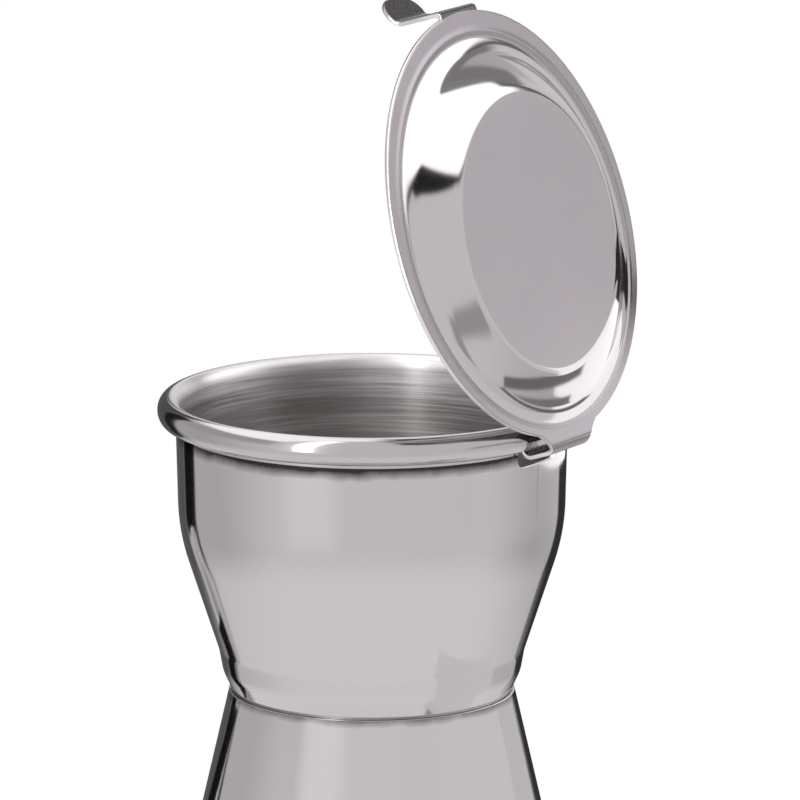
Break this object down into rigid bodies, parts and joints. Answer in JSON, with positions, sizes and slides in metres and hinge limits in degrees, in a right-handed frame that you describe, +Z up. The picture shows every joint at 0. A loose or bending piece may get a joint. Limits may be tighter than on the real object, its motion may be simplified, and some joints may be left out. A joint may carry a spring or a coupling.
{
  "type": "oil cruet",
  "caption": "Conical stainless steel oil cruet with a funnel-shaped mouth cup, a domed lid on a rim hinge, a long tapered spout and a strap handle.",
  "frame": {"origin": "centre of the base plate's underside, on the cruet's axis", "axes": "+Z up along the cruet's axis; +X towards the hinge and the handle; the spout points along -X; +Y along the hinge axis"},
  "size_m": [0.1762, 0.1056, 0.2254],
  "materials": {
    "body_steel": "satin",
    "cup_steel": "satin",
    "lid_steel": "satin disc, polished wall",
    "wire_steel": "bright drawn",
    "polished_steel": "polished"
  },
  "bodies": {
    "vessel": {"base_plate": "body_steel", "cone_body": "body_steel", "mouth_cup": "cup_steel", "hinge_pin": "wire_steel", "spout_tube": "polished_steel", "spout_collar": "polished_steel", "handle": "polished_steel"},
    "lid": {"lid": "lid_steel"}
  },
  "joints": [
    {"name": "lid_hinge", "type": "hinge", "parent": "vessel", "child": "lid", "pos_m": [0.0304, 0, 0.1645], "axis": [0, 1, 0], "range_deg": [-72.5, 35]}
  ]
}
